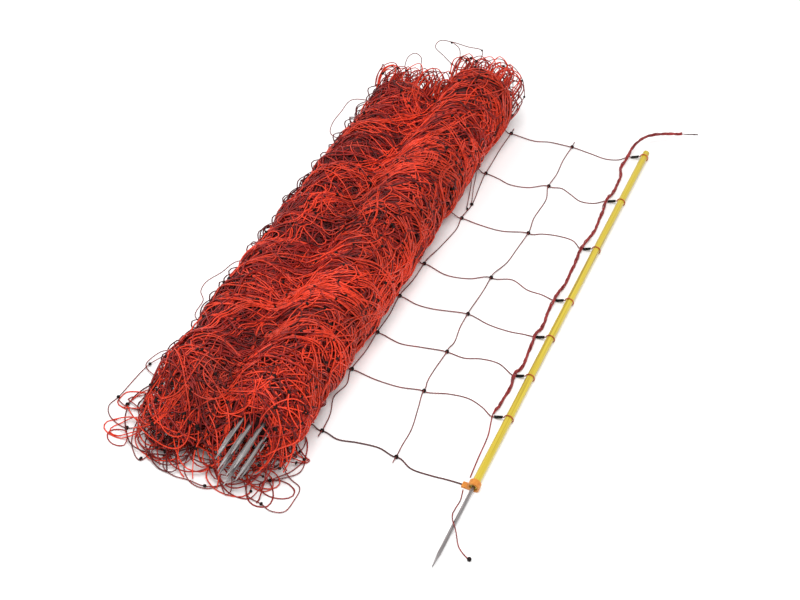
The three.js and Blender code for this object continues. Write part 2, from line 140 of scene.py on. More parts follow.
def ply_section(name, radius):
    """The closed outline of a strand's plies side by side, as wide as the strand."""
    data = bpy.data.curves.new(name, "CURVE")
    data.dimensions = "2D"
    spline = data.splines.new("POLY")
    spline.points.add(PLY_POINTS - 1)
    for i, point in enumerate(spline.points):
        turn = 2 * math.pi * i / PLY_POINTS
        r = radius * (1 - PLY_DIP * (0.5 - 0.5 * math.cos(PLIES * turn)))
        point.co = (r * math.cos(turn), r * math.sin(turn), 0.0, 1.0)
    spline.use_cyclic_u = True
    return bpy.data.objects.new(name, data)


def new_material(name, roughness, metallic=0.0, specular=0.5):
    """A material with its nodes, its links and its shader."""
    material = bpy.data.materials.new(name)
    material.use_nodes = True
    shader = material.node_tree.nodes["Principled BSDF"]
    shader.inputs["Roughness"].default_value = roughness
    shader.inputs["Metallic"].default_value = metallic
    shader.inputs["Specular IOR Level"].default_value = specular
    return material, material.node_tree.nodes, material.node_tree.links, shader


def ramp_of(nodes, stops):
    """A colour ramp with the given stops."""
    node = nodes.new("ShaderNodeValToRGB")
    ramp = node.color_ramp
    while len(ramp.elements) < len(stops):
        ramp.elements.new(0.5)
    for element, (place, colour) in zip(ramp.elements, stops):
        element.position = place
        element.color = (*colour, 1.0)
    return node


def noise_of(nodes, links, place, scale, detail=2.0):
    """Noise at a place, with the sockets' own constants."""
    node = nodes.new("ShaderNodeTexNoise")
    node.inputs["Scale"].default_value = scale
    node.inputs["Detail"].default_value = detail
    links.new(place, node.inputs["Vector"])
    return node


def bump_up(nodes, links, shader, height, strength, distance):
    """A bump under a shader's surface."""
    bump = nodes.new("ShaderNodeBump")
    bump.inputs["Strength"].default_value = strength
    bump.inputs["Distance"].default_value = distance
    links.new(height, bump.inputs["Height"])
    links.new(bump.outputs["Normal"], shader.inputs["Normal"])


def twine_group():
    """Node group: colour and bump of twisted twine, from how far round and along the strand a point is."""
    group = bpy.data.node_groups.new("twine_plies", "ShaderNodeTree")
    face = group.interface
    for label, default in (("Red", (0.5, 0.04, 0.03, 1)), ("Tracer", (0.05, 0.01, 0.01, 1))):
        face.new_socket(label, in_out="INPUT", socket_type="NodeSocketColor").default_value = default
    face.new_socket("Turns", in_out="INPUT", socket_type="NodeSocketFloat").default_value = 0.0
    face.new_socket("Shade Scale", in_out="INPUT", socket_type="NodeSocketFloat").default_value = 12.0
    face.new_socket("Color", in_out="OUTPUT", socket_type="NodeSocketColor")
    face.new_socket("Height", in_out="OUTPUT", socket_type="NodeSocketFloat")
    nodes, links = group.nodes, group.links
    entry = nodes.new("NodeGroupInput")
    result = nodes.new("NodeGroupOutput")
    coordinates = nodes.new("ShaderNodeTexCoord")
    split = nodes.new("ShaderNodeSeparateXYZ")
    links.new(coordinates.outputs["UV"], split.inputs[0])
    turned = nodes.new("ShaderNodeMath")
    turned.operation = "MULTIPLY_ADD"
    links.new(split.outputs["X"], turned.inputs[0])
    links.new(entry.outputs["Turns"], turned.inputs[1])
    links.new(split.outputs["Y"], turned.inputs[2])
    wrapped = nodes.new("ShaderNodeMath")
    wrapped.operation = "FRACT"
    links.new(turned.outputs[0], wrapped.inputs[0])
    dark, light = (0, 0, 0), (1, 1, 1)
    stripe = ramp_of(nodes, [(0.0, dark), (0.62, dark), (0.7, light), (0.84, light), (0.9, dark)])
    links.new(wrapped.outputs[0], stripe.inputs[0])
    speck = noise_of(nodes, links, coordinates.outputs["Object"], 260.0)
    mask = nodes.new("ShaderNodeMath")
    mask.operation = "MULTIPLY"
    links.new(stripe.outputs["Color"], mask.inputs[0])
    links.new(speck.outputs["Fac"], mask.inputs[1])
    first_colour, second_colour, mixed_colour = 6, 7, 2
    plied = nodes.new("ShaderNodeMix")
    plied.data_type = "RGBA"
    links.new(mask.outputs[0], plied.inputs["Factor"])
    links.new(entry.outputs["Red"], plied.inputs[first_colour])
    links.new(entry.outputs["Tracer"], plied.inputs[second_colour])
    wide = noise_of(nodes, links, coordinates.outputs["Object"], 12.0, 3.0)
    links.new(entry.outputs["Shade Scale"], wide.inputs["Scale"])
    tone = ramp_of(nodes, [(0.3, (0.62, 0.62, 0.62)), (0.7, (1.18, 1.18, 1.18))])
    links.new(wide.outputs["Fac"], tone.inputs[0])
    toned = nodes.new("ShaderNodeMix")
    toned.data_type = "RGBA"
    toned.blend_type = "MULTIPLY"
    toned.inputs["Factor"].default_value = 1.0
    links.new(plied.outputs[mixed_colour], toned.inputs[first_colour])
    links.new(tone.outputs["Color"], toned.inputs[second_colour])
    links.new(toned.outputs[mixed_colour], result.inputs["Color"])
    links.new(speck.outputs["Fac"], result.inputs["Height"])
    return group


twine_plies = twine_group()


def twine_material(name, red, tracer, turns=0.0, shade_scale=12.0, roughness=0.45):
    """Twine of a red with a darker tracer, whose stripe turns round it so often along its length."""
    material, nodes, links, shader = new_material(name, roughness, specular=0.28)
    plies = nodes.new("ShaderNodeGroup")
    plies.node_tree = twine_plies
    plies.inputs["Red"].default_value = (*red, 1)
    plies.inputs["Tracer"].default_value = (*tracer, 1)
    plies.inputs["Turns"].default_value = turns
    plies.inputs["Shade Scale"].default_value = shade_scale
    links.new(plies.outputs["Color"], shader.inputs["Base Color"])
    bump_up(nodes, links, shader, plies.outputs["Height"], 0.35, 0.0004)
    return material


# The construction's driving sizes, as the part's own source has them.
GAP = 0.3
NET_FOOT = -410
WIRE_SPACING = [150, 150, 150, 100, 100, 100, 150]
TWINE = 2.2
FOOT_WIRE = 2.8
KNOT = 7.4
KNOT_WALL = 0.45
KNOT_GRIP = 7
STRING_STUB = 14
POST_X = 400
SHAFT = 13
SPIKE = 6
SLEEVE = 5
SLEEVE_START = 25
FLOOR_GAP = 0.2
wire_levels = [NET_FOOT + sum(WIRE_SPACING)]
for spacing in WIRE_SPACING:
    wire_levels.append(wire_levels[-1] - spacing)
FOOT_LEVEL = len(WIRE_SPACING)
lay_height = TWINE / 2 + FLOOR_GAP
foot_lay = FOOT_WIRE / 2 + FLOOR_GAP
wire_at_knot = FLOOR_GAP + KNOT_WALL + GAP + FOOT_WIRE / 2 + 0.2
upright_at_knot = wire_at_knot + FOOT_WIRE / 2 + GAP + TWINE / 2
knot_height = (wire_at_knot + upright_at_knot) / 2
loop_radius = SHAFT / 2 + GAP + TWINE / 2
post_height = loop_radius + TWINE / 2 + FLOOR_GAP
sleeve_low = max(lay_height, SLEEVE / 2 + FLOOR_GAP)
sleeve_stop = loop_radius + 3

# Level wires: eight strands across the pulled-out stretch. Each leaves the bundle low down, runs through its
# two knots on the floor, and goes through its black sleeve and round the post. The foot wire is thicker and
# ends in the clip.
first_knots = [[270, -26], [270, -17], [262, -11], [276, -7], [282, -3], [280, -2], [283, 1], [268, 8]]
second_knots = [[143, -18], [144, -4], [132, 0], [151, 8], [154, 4], [152, 4], [152, 5], [136, 7]]
middle_routes = [
    [[220, -28], [190, -19]],
    [[243, -20], [215, -28], [180, -22]],
    [[228, -13], [182, -13]],
    [[229, -17], [187, -9]],
    [[248, -9], [218, -8]],
    [[234, -9], [200, -3]],
    [[238, -3], [193, -2]],
    [[238, 3], [205, 10], [169, 14]],
]
last_routes = [
    [[103, -21], [70, -25], [46, -17]],
    [[120, 2], [98, -8], [74, -20], [48, -15]],
    [[109, 10], [80, 17], [50, 16]],
    [[115, 20], [80, 6], [52, 5]],
    [[111, -4], [72, -5], [46, -1]],
    [[120, 4], [93, 14], [62, 16]],
    [[113, 17], [78, 21], [50, 12]],
    [[106, -4], [72, -4], [44, -1]],
]
LOBE_OFFSET = 63
LOBE_WIDTH = 142
RIGHT_HEIGHT = 152
LEFT_HEIGHT = 142
LOBE_SINK = 9
WIRE_RISE = lay_height + 6
STRING_SEAT = 10
CLIP_REACH = 20
flank_rise = (WIRE_RISE - (RIGHT_HEIGHT - LOBE_SINK) / 2) / ((RIGHT_HEIGHT + LOBE_SINK) / 2)
flank = LOBE_OFFSET + LOBE_WIDTH / 2 * math.sqrt(1 - flank_rise ** 2)


def metres(points):
    return [Vector(p) * MM for p in points]


def knot_place(knot, level):
    """Where a knot lies, from its distance to the post and its drift along it."""
    return POST_X - knot[0], wire_levels[level] + knot[1]


def wire_route(level):
    """The points of a level wire, from inside the bundle to the post."""
    y = wire_levels[level]
    lay = foot_lay if level == FOOT_LEVEL else lay_height
    first = knot_place(first_knots[level], level)
    second = knot_place(second_knots[level], level)
    start = flank - STRING_SEAT
    points = [(start, first[1] + 3, WIRE_RISE), ((start + first[0]) / 2, first[1] + 2, WIRE_RISE)]
    for (x, knot_y), route in ((first, middle_routes[level]), (second, last_routes[level])):
        points += [(x - KNOT_GRIP, knot_y, wire_at_knot), (x + KNOT_GRIP, knot_y, wire_at_knot)]
        points += [(POST_X - reach, y + drift, lay) for reach, drift in route]
    if level == FOOT_LEVEL:
        points.append((POST_X - CLIP_REACH - GAP - 0.4, y, foot_lay + 0.6))
    else:
        points += [
            (POST_X - SLEEVE_START - 5, y - 1, sleeve_low),
            (POST_X - SLEEVE_START, y, sleeve_low),
            (POST_X - sleeve_stop, y, post_height - 1.5),
            (POST_X - loop_radius, y, post_height + 0.5),
        ]
    return points


twine_section = ply_section("twine_section", TWINE / 2 * MM)
foot_section = ply_section("foot_section", FOOT_WIRE / 2 * MM)
TWINE_TURN = 2 * math.pi / 0.016
TWINE_STEP = 0.0022
CORD_SHADES = 30.0
# The panel's twine is coloured a much darker red than the same twine on the bundle: painted shade of the thin
# strands seen against the pale floor.
panel_twine_painted_shade = twine_material("panel_twine_painted_shade", (0.2, 0.032, 0.03), (0.016, 0.008, 0.008),
                             shade_scale=CORD_SHADES)
foot_twine = twine_material("foot_twine", (0.09, 0.022, 0.022), (0.01, 0.007, 0.007), shade_scale=CORD_SHADES)


def lay_cord(name, points, diameter, section, material, replaced, step=TWINE_STEP, **facts):
    """One strand as a swept cord, in place of its plain solid."""
    radius = diameter / 2 * MM
    line = [Vector((p.x, p.y, max(p.z, radius))) for p in smooth_line(metres(points), step)]
    piece = sweep(name, [line], radius, section, TWINE_TURN)
    piece.data.materials.append(material)
    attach(piece, "root")
    if replaced:
        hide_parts(replaced)


for level in range(FOOT_LEVEL):
    lay_cord(f"wire_{level + 1}", wire_route(level), TWINE, twine_section, panel_twine_painted_shade,
             f"line_wire_{level + 1}", far_end="object")
lay_cord(f"wire_{FOOT_LEVEL + 1}", wire_route(FOOT_LEVEL), FOOT_WIRE, foot_section, foot_twine,
         f"line_wire_{FOOT_LEVEL + 1}", far_end="object")

# Wire loops: each upper wire's end goes on once round the post from its sleeve.
LOOP_TURN = 1.7 * math.pi
LOOP_DRIFT = 0.8
LOOP_STEPS = 24
loop_lines = []
for level in range(FOOT_LEVEL):
    loop = []
    for i in range(LOOP_STEPS + 1):
        turn = LOOP_TURN * i / LOOP_STEPS
        y = wire_levels[level] - LOOP_DRIFT * i / LOOP_STEPS
        loop.append((POST_X - loop_radius * math.cos(turn), y, post_height + loop_radius * math.sin(turn)))
    loop_lines.append(metres(loop))
wire_loops = sweep("wire_loops", loop_lines, TWINE / 2 * MM, twine_section, TWINE_TURN)
wire_loops.data.materials.append(twine_material("loop_twine", (0.5, 0.09, 0.02), (0.12, 0.02, 0.01)))
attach(wire_loops, "root")

# Upright strings: two strands that cross over the wires and are gripped by the knots.
first_upright = [
    [[273, 410], [272, 372]],
    [[268, 290], [260, 225]],
    [[260, 150], [268, 90]],
    [],
    [],
    [],
    [[277, -292], [284, -325], [273, -362]],
]
second_upright = [
    [[146, 430], [143, 380]],
    [[136, 300], [138, 235]],
    [[136, 150], [140, 100]],
    [[152, 15]],
    [[155, -88], [150, -128]],
    [[156, -200], [156, -232]],
    [[147, -290], [138, -340], [138, -378]],
]
for side, (knots, routes) in enumerate([(first_knots, first_upright), (second_knots, second_upright)]):
    top = knot_place(knots[0], 0)
    points = [(top[0], top[1] + STRING_STUB, upright_at_knot)]
    for level, knot in enumerate(knots):
        x, y = knot_place(knot, level)
        points += [(x, y + KNOT_GRIP, upright_at_knot), (x, y - KNOT_GRIP, upright_at_knot)]
        if level == len(knots) - 1:
            break
        points += [(POST_X - reach, along, lay_height) for reach, along in routes[level]]
        if not routes[level]:
            below = knot_place(knots[level + 1], level + 1)
            points.append(((x + below[0]) / 2 + 1, (y + below[1]) / 2, lay_height + 0.5))
    points.append((x, y - STRING_STUB, upright_at_knot))
    lay_cord(f"upright_{side + 1}", points, TWINE, twine_section, panel_twine_painted_shade, f"upright_string_{side + 1}",
             far_end="knot", with_pieces=[f"knot_{side + 1}_8"])

# Knots: small black lumps moulded round each crossing, slightly squashed, with a rough skin.
def mottled(name, roughness, scale, stops, detail=2.0, stretch=None, bump=None, **facts):
    """A material whose colour wanders between the stops, drawn out along the piece where it has a stretch."""
    material, nodes, links, shader = new_material(name, roughness, **facts)
    place = nodes.new("ShaderNodeTexCoord").outputs["Object"]
    if stretch:
        mapping = nodes.new("ShaderNodeMapping")
        mapping.inputs["Scale"].default_value = stretch
        links.new(place, mapping.inputs["Vector"])
        place = mapping.outputs["Vector"]
    grain = noise_of(nodes, links, place, scale, detail)
    tone = ramp_of(nodes, stops)
    links.new(grain.outputs["Fac"], tone.inputs[0])
    links.new(tone.outputs["Color"], shader.inputs["Base Color"])
    if bump:
        bump_up(nodes, links, shader, grain.outputs["Fac"], *bump)
    return material


def dress(material, *starts):
    """Gives a material to the part's own solids whose names start so."""
    for name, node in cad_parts.items():
        if name.startswith(starts):
            node.data.materials.clear()
            node.data.materials.append(material)


knot_black = mottled("knot_black", 0.7, 420.0, [(0.35, (0.004, 0.002, 0.002)), (0.75, (0.02, 0.008, 0.007))],
                     bump=(0.6, 0.0005), specular=0.15)
dress(knot_black, "knot_", "tail_knot")

# Bundle: the rest of the net, folded and rolled round its posts into two lobes that lie side by side, with
# layers that run across between them. Its packed inside is a core of near-black red, painted shade of the
# gaps between the layers, and the layers on it are real strands.
RIGHT_ENDS = (-498, 500)
LEFT_ENDS = (-490, 412)
FOLD_HEIGHT = 122
FOLD_SETBACK = 14
TURN_STEP = 14
TURN_SHARES = [0.45, 0.62, 0.8, 0.92, 1.0]
SWELL_STEPS = [52, 38, 61, 45, 36, 57]
SWELL_DEPTHS = [8, 4, 9, 5, 8, 6]
SWELL_LEAN = 0.35
LEAN_START = 42
LEAN_FADE = 168
END_LENGTH = 5 * TURN_STEP
VALLEY_REACH = 24
heart = Vector((0.0, 0.0, 0.052))


def swell_valleys(ends, swell):
    """Where the layers sink along a roll, and how deep."""
    valley = ends[0] + END_LENGTH
    valleys = []
    while valley + SWELL_STEPS[swell] < ends[1] - END_LENGTH:
        valleys.append((valley, SWELL_DEPTHS[swell]))
        valley += SWELL_STEPS[swell]
        swell = (swell + 1) % len(SWELL_STEPS)
    return valleys + [(valley, SWELL_DEPTHS[swell])]


FOLD_ENDS = (LEFT_ENDS[0] + FOLD_SETBACK, LEFT_ENDS[1] - FOLD_SETBACK)
rolls = [
    (LOBE_OFFSET, RIGHT_HEIGHT + LOBE_SINK, RIGHT_ENDS, -SWELL_LEAN, swell_valleys(RIGHT_ENDS, 0)),
    (-LOBE_OFFSET, LEFT_HEIGHT + LOBE_SINK, LEFT_ENDS, SWELL_LEAN, swell_valleys(LEFT_ENDS, 3)),
    (0, FOLD_HEIGHT + LOBE_SINK, FOLD_ENDS, 0, swell_valleys(FOLD_ENDS, 1)),
]


def roll_share(ends, valleys, radius, y):
    """Share of a roll's radius along it: its turns step back at the ends, its layers swell between."""
    inside = min(y - ends[0], ends[1] - y)
    if inside < END_LENGTH - TURN_STEP:
        step = max(0.0, inside / TURN_STEP - 0.1)
        low = int(step)
        high = min(low + 1, len(TURN_SHARES) - 1)
        return TURN_SHARES[low] + (TURN_SHARES[high] - TURN_SHARES[low]) * (step - low)
    valley, depth = min(valleys, key=lambda item: abs(item[0] - y))
    return 1 - depth / radius * max(0.0, 1 - abs(y - valley) / VALLEY_REACH) ** 1.2


def roll_reach(roll, y, turn):
    """How far from the heart line a roll's surface lies, in the direction of a turn; 0 past its ends."""
    x, height, ends, lean, valleys = roll
    along = y / MM
    if not ends[0] < along < ends[1]:
        return 0.0
    ux, uz = math.cos(turn), math.sin(turn)
    dx, dz = heart.x / MM - x, heart.z / MM - (height / 2 - LOBE_SINK)
    share = 1.0
    reach = 0.0
    for _ in range(2):
        a = LOBE_WIDTH / 2 * share
        b = height / 2 * share
        qa = (ux / a) ** 2 + (uz / b) ** 2
        qb = 2 * (dx * ux / a ** 2 + dz * uz / b ** 2)
        qc = (dx / a) ** 2 + (dz / b) ** 2 - 1
        root = qb * qb - 4 * qa * qc
        if root <= 0:
            return 0.0
        reach = max(0.0, (-qb + math.sqrt(root)) / (2 * qa))
        inside = max(0.0, min(along - ends[0], ends[1] - along) - LEAN_START) / LEAN_FADE
        leaned = along - lean * (dx + reach * ux) * min(1.0, inside)
        share = roll_share(ends, valleys, height / 2, min(max(leaned, ends[0] + 1), ends[1] - 1))
    return reach * MM


# The bundle's surface as a table, round it in steps of 3 degrees and along it in steps of 5 mm.
TABLE_TURNS = 120
TABLE_STEP = 0.005
table_near = RIGHT_ENDS[0] * MM
table_rows = round((RIGHT_ENDS[1] - RIGHT_ENDS[0]) * MM / TABLE_STEP) + 2
reach_table = []
for row in range(table_rows):
    y = table_near + row * TABLE_STEP
    ring = []
    for k in range(TABLE_TURNS):
        turn = 2 * math.pi * k / TABLE_TURNS
        lump = 0.004 * noise.noise(Vector((math.cos(turn) * 2.2, math.sin(turn) * 2.2, y * 14)))
        ring.append(max(0.0, max(roll_reach(roll, y, turn) for roll in rolls) + lump - 0.001))
    reach_table.append(ring)


def bundle_reach(turn, y):
    """How far the bundle's surface lies from its heart line, from the table."""
    row = min(max((y - table_near) / TABLE_STEP, 0.0), table_rows - 1.001)
    column = (turn / (2 * math.pi) * TABLE_TURNS) % TABLE_TURNS
    i, k = int(row), int(column)
    f, g = row - i, column - k
    a, b = reach_table[i], reach_table[i + 1]
    n = (k + 1) % TABLE_TURNS
    return (a[k] * (1 - g) + a[n] * g) * (1 - f) + (b[k] * (1 - g) + b[n] * g) * f


def bundle_point(turn, y, lift):
    """A point on the bundle: turn is round its heart line from the right, lift is off its surface."""
    reach = max(0.004, bundle_reach(turn, y) + lift)
    z = heart.z + reach * math.sin(turn)
    return Vector((heart.x + reach * math.cos(turn), y, max(z, 0.0015)))


def piece_of(name, build):
    """A piece from a finished mesh."""
    mesh = bpy.data.meshes.new(name)
    build.to_mesh(mesh)
    build.free()
    piece = bpy.data.objects.new(name, mesh)
    scene.collection.objects.link(piece)
    return piece


CORE_DEPTH = 0.013
CORE_RINGS = 90
CORE_SIDES = 72
core = bmesh.new()
near, far = RIGHT_ENDS[0] * MM + 0.024, RIGHT_ENDS[1] * MM - 0.018
rings = []
for i in range(CORE_RINGS + 1):
    y = near + (far - near) * i / CORE_RINGS
    ring = [bundle_point(2 * math.pi * k / CORE_SIDES, y, -CORE_DEPTH) for k in range(CORE_SIDES)]
    rings.append([core.verts.new(point) for point in ring])
for a, b in zip(rings, rings[1:]):
    for k in range(CORE_SIDES):
        core.faces.new((a[k], b[k], b[(k + 1) % CORE_SIDES], a[(k + 1) % CORE_SIDES]))
core.faces.new(rings[0])
core.faces.new(list(reversed(rings[-1])))
bmesh.ops.recalc_face_normals(core, faces=core.faces)
packed_core = piece_of("packed_core", core)
packed_core.data.shade_smooth()
# The core's near-black red is painted shade in the gaps between the layers; the packed net is the same red
# twine.
packed_core.data.materials.append(
    mottled("core_red_painted_shade", 0.8, 90.0, [(0.35, (0.015, 0.002, 0.002)), (0.7, (0.11, 0.007, 0.006))], detail=4.0))
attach(packed_core, "root")
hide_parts("netting_bundle")

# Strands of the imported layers: bunches of a few near-parallel strands. Each follows the lie of the layers
# round the bundle and curls a little on its way, so that they cross in every direction. Lengths here are
# metres but for the radius, turns are degrees but for the lowest.
chance = random.Random(11)
STRAND_STEP = 0.0115
STRAND_RADIUS = 1.2
FLANK_TURN, CREST_TURN, LEFT_FADE = 38, 95, 60
FLANK_LIE, CREST_LIE, LEFT_LIE = -18, 82, 22
LEFT_CREST_LIE = 72
LOWEST_TURN = 0.62
END_MARGIN = 0.004
LEAST_REACH = 0.036
WAVE = 0.003


def lie(turn):
    """The way the layers lie at a turn: 0 runs round the bundle to the right, 90 degrees along it."""
    degrees = math.degrees(turn)
    if degrees < CREST_TURN:
        climb = max(0.0, (degrees - FLANK_TURN) / (CREST_TURN - FLANK_TURN)) ** 1.3
        return math.radians(FLANK_LIE + (CREST_LIE - FLANK_LIE) * climb)
    fade = min(1.0, (degrees - CREST_TURN) / LEFT_FADE)
    return math.radians(LEFT_CREST_LIE - (LEFT_CREST_LIE - LEFT_LIE) * fade)


def between_ends(y):
    """Whether a place along the bundle keeps clear of its ends."""
    return RIGHT_ENDS[0] * MM + END_MARGIN < y < RIGHT_ENDS[1] * MM - END_MARGIN


def walk(turn, y, heading, length, lift, curl, seed, follow):
    """One strand, laid step by step from a place on the bundle."""
    line = []
    for i in range(round(length / STRAND_STEP) + 1):
        line.append(bundle_point(turn, y, lift + WAVE * noise.noise(Vector((i * 0.23, seed, 3.0)))))
        reach = max(0.03, bundle_reach(turn, y))
        bend = curl * noise.noise(Vector((i * 0.16, seed, 9.0)))
        heading += (bend + follow * math.sin(lie(turn) - heading)) * STRAND_STEP
        turn -= math.cos(heading) * STRAND_STEP / reach
        y += math.sin(heading) * STRAND_STEP
        if not -LOWEST_TURN < turn < math.pi + LOWEST_TURN:
            break
        if not between_ends(y) or bundle_reach(turn, y) < LEAST_REACH:
            break
    return line


bundle_lines = {"bright": [], "deep": [], "dark": []}
BUNCHES = 690
BUNCH_TURNS = (-20, 205)
BUNCH_LENGTHS = (0.14, 0.34)
BUNCH_SPREADS = (0.002, 0.008)
BUNCH_STRANDS = (2, 6)
FOLLOWS = [0.0, 4.0, 10.0, 14.0]
CURL_RATES = [16.0, 34.0, 60.0]
SEEDS = (0, 900)
TOP_LIFT, DEEPEST = 0.001, 0.011
FEWEST_POINTS = 5
LEFT_TURN, LEFT_PAINTED_SHADE, RIGHT_PAINTED_SHADE = 92, 0.23, 0.02
BRIGHT_TO, DEEP_TO = 0.5, 0.78
for bunch in range(BUNCHES):
    turn = math.radians(chance.uniform(*BUNCH_TURNS))
    y = chance.uniform(*RIGHT_ENDS) * MM
    depth = chance.random()
    lift = TOP_LIFT - DEEPEST * depth
    spread = chance.uniform(*BUNCH_SPREADS)
    heading = lie(turn) + chance.gauss(0, 0.8)
    follow = chance.choice(FOLLOWS)
    curl = chance.choice(CURL_RATES)
    length = chance.uniform(*BUNCH_LENGTHS)
    seed = chance.uniform(*SEEDS)
    for k in range(chance.randint(*BUNCH_STRANDS)):
        side_step = spread * k
        line = walk(
            turn + side_step * math.sin(heading) / 0.09, y + side_step * math.cos(heading),
            heading + chance.gauss(0, 0.1), length * chance.uniform(0.7, 1.1),
            lift + chance.uniform(-0.002, 0.002), curl, seed + 0.08 * k, follow)
        if len(line) >= FEWEST_POINTS:
            # Deeper strands and strands on the left lobe get darker shades: painted shade of the recesses
            # between the layers and of the left lobe, added to a random spread of the twine's tones.
            painted_shade = LEFT_PAINTED_SHADE if math.degrees(turn) > LEFT_TURN else RIGHT_PAINTED_SHADE
            tone = 0.55 * depth + 0.45 * chance.random() + painted_shade
            shade = "bright" if tone < BRIGHT_TO else "deep" if tone < DEEP_TO else "dark"
            bundle_lines[shade].append(line)

# Small loops and curls of the net that stand a little off the bundle, all over it.
CURLS = 520
CURL_STEPS = 8
CURL_TURNS = (-10, 200)
CURL_MARGIN = 8
CURL_RADII = (0.009, 0.026)
CURL_RISE = 0.0025
CURL_REACH = 0.03
for curl_number in range(CURLS):
    turn = math.radians(chance.uniform(*CURL_TURNS))
    y = chance.uniform(RIGHT_ENDS[0] + CURL_MARGIN, RIGHT_ENDS[1] - CURL_MARGIN) * MM
    if bundle_reach(turn, y) < CURL_REACH:
        continue
    radius = chance.uniform(*CURL_RADII)
    flat = chance.uniform(0.45, 1.0)
    start, sweep_turn = chance.uniform(0, 6.28), chance.uniform(2.6, 5.4) * chance.choice([-1, 1])
    lean, reach = chance.uniform(0, 3.14), bundle_reach(turn, y)
    line = []
    for i in range(CURL_STEPS + 1):
        angle = start + sweep_turn * i / CURL_STEPS
        u, v = radius * math.cos(angle), radius * flat * math.sin(angle)
        across, along = u * math.cos(lean) - v * math.sin(lean), u * math.sin(lean) + v * math.cos(lean)
        rise = CURL_RISE * math.sin(math.pi * i / CURL_STEPS) - 0.001
        line.append(bundle_point(turn + across / reach, y + along, rise))
    if all(between_ends(p.y) for p in line):
        bundle_lines[("bright", "deep", "dark")[curl_number % 3]].append(line)

# Near end: the net's loose ends drape off the bundle in flat loops that overlap on the floor round the
# spikes.
DRAPE_X, DRAPE_Y = -24, -498
DRAPE_WIDE, DRAPE_LONG, DRAPE_TALL = 160, 84, 30
DRAPE_EDGE = -578
DRAPE_BACK = -432
ARC_BACK = -468
ARC_SIDES = (-196, 140)
LOOP_SIDES = (-206, 150)
DRAPE_ARCS = 46
ARC_MIDDLES, ARC_HALVES = (-120, 86), (34, 92)
ARC_STEPS = 10
ARC_STRAY = 5
DRAPE_LOOPS = 38
LOOP_X, LOOP_Y, LOOP_RADII = (-176, 122), (-556, -462), (16, 42)
LOOP_POINTS = 11
ARC_SPACING, LOOP_SPACING = 0.009, 0.008


def drape_height(x, y):
    """Height of the drape's top at a place on the floor before the bundle, in millimetres."""
    rise = 1 - ((x - DRAPE_X) / DRAPE_WIDE) ** 2 - ((y - DRAPE_Y) / DRAPE_LONG) ** 2
    return DRAPE_TALL * math.sqrt(max(0.0, rise))


drape_lines = []
for arc in range(DRAPE_ARCS):
    wide = chance.random()
    middle = chance.uniform(*ARC_MIDDLES)
    half = chance.uniform(*ARC_HALVES)
    left = max(ARC_SIDES[0], middle - half)
    right = min(ARC_SIDES[1], middle + half)
    bottom = chance.uniform(-575, -500) if wide > 0.35 else chance.uniform(-520, -470)
    edge = 80 * math.sqrt(max(0.05, 1 - ((middle - DRAPE_X) / 190) ** 2))
    bottom = max(bottom, DRAPE_Y - edge)
    depth = chance.uniform(0.1, 1.0)
    points = []
    for i in range(ARC_STEPS + 1):
        angle = math.pi * (-0.16 + 1.32 * i / ARC_STEPS)
        x = (left + right) / 2 - (right - left) / 2 * math.cos(angle) * (1.0 if 0 < i < ARC_STEPS else 0.92)
        y = ARC_BACK - (ARC_BACK - bottom) * max(-0.6, math.sin(angle))
        y += chance.uniform(-ARC_STRAY, ARC_STRAY)
        x += chance.uniform(-ARC_STRAY, ARC_STRAY)
        points.append((x, y, max(1.8, depth * drape_height(x, y) + chance.uniform(-3, 4))))
    points.insert(0, (max(-104, points[0][0] * 0.7), DRAPE_BACK, 40 * chance.random() + 14))
    points.append((min(112, points[-1][0] * 0.7), DRAPE_BACK, 40 * chance.random() + 14))
    drape_lines.append(smooth_line(metres(points), ARC_SPACING))
for loop in range(DRAPE_LOOPS):
    x = chance.uniform(*LOOP_X)
    y = chance.uniform(*LOOP_Y)
    radius = chance.uniform(*LOOP_RADII)
    flat = chance.uniform(0.35, 0.85)
    lean = chance.gauss(0, 0.45)
    depth = chance.uniform(0.1, 1.1)
    start = chance.uniform(0, 6.28)
    points = []
    for i in range(LOOP_POINTS):
        angle = start + 2 * math.pi * i / 9.6
        u, v = radius * math.cos(angle), radius * flat * math.sin(angle)
        px = min(max(x + u * math.cos(lean) - v * math.sin(lean), LOOP_SIDES[0]), LOOP_SIDES[1])
        py = max(y + u * math.sin(lean) + v * math.cos(lean), DRAPE_EDGE)
        points.append((px, py, max(1.6, depth * drape_height(px, py) + 1.5 * math.sin(angle * 2))))
    drape_lines.append(smooth_line(metres(points), LOOP_SPACING))
for number, line in enumerate(drape_lines):
    bundle_lines[("deep", "bright", "dark", "deep", "bright")[number % 5]].append(line)

# Near end of the lobes: the layers slope down from their tops to the drape, and thin out round the packed
# spikes.
SLOPE_TOP = -438
SLOPE_FOOT = -576
SLOPE_BACK = -418
SLOPE_HALF = 138
SLOPE_STRANDS = 360
SLOPE_STARTS = (-130, 132)
SLOPE_LENGTHS = (0.12, 0.3)
SLOPE_HEADINGS = [-0.2, 0.1, 2.9, -1.2, -1.9]
SLOPE_CURLS = [26.0, 40.0, 62.0]
SLOPE_DEPTHS = (0, 11)
SLOPE_STEP = 9.5
SLOPE_SPACING = 0.007
SPIKES_X, SPIKES_Z = LOBE_OFFSET + 2, 68
WINDOW_WIDE, WINDOW_TALL = 33, 38
WINDOW_START = -462
OPEN_HEIGHT = 48


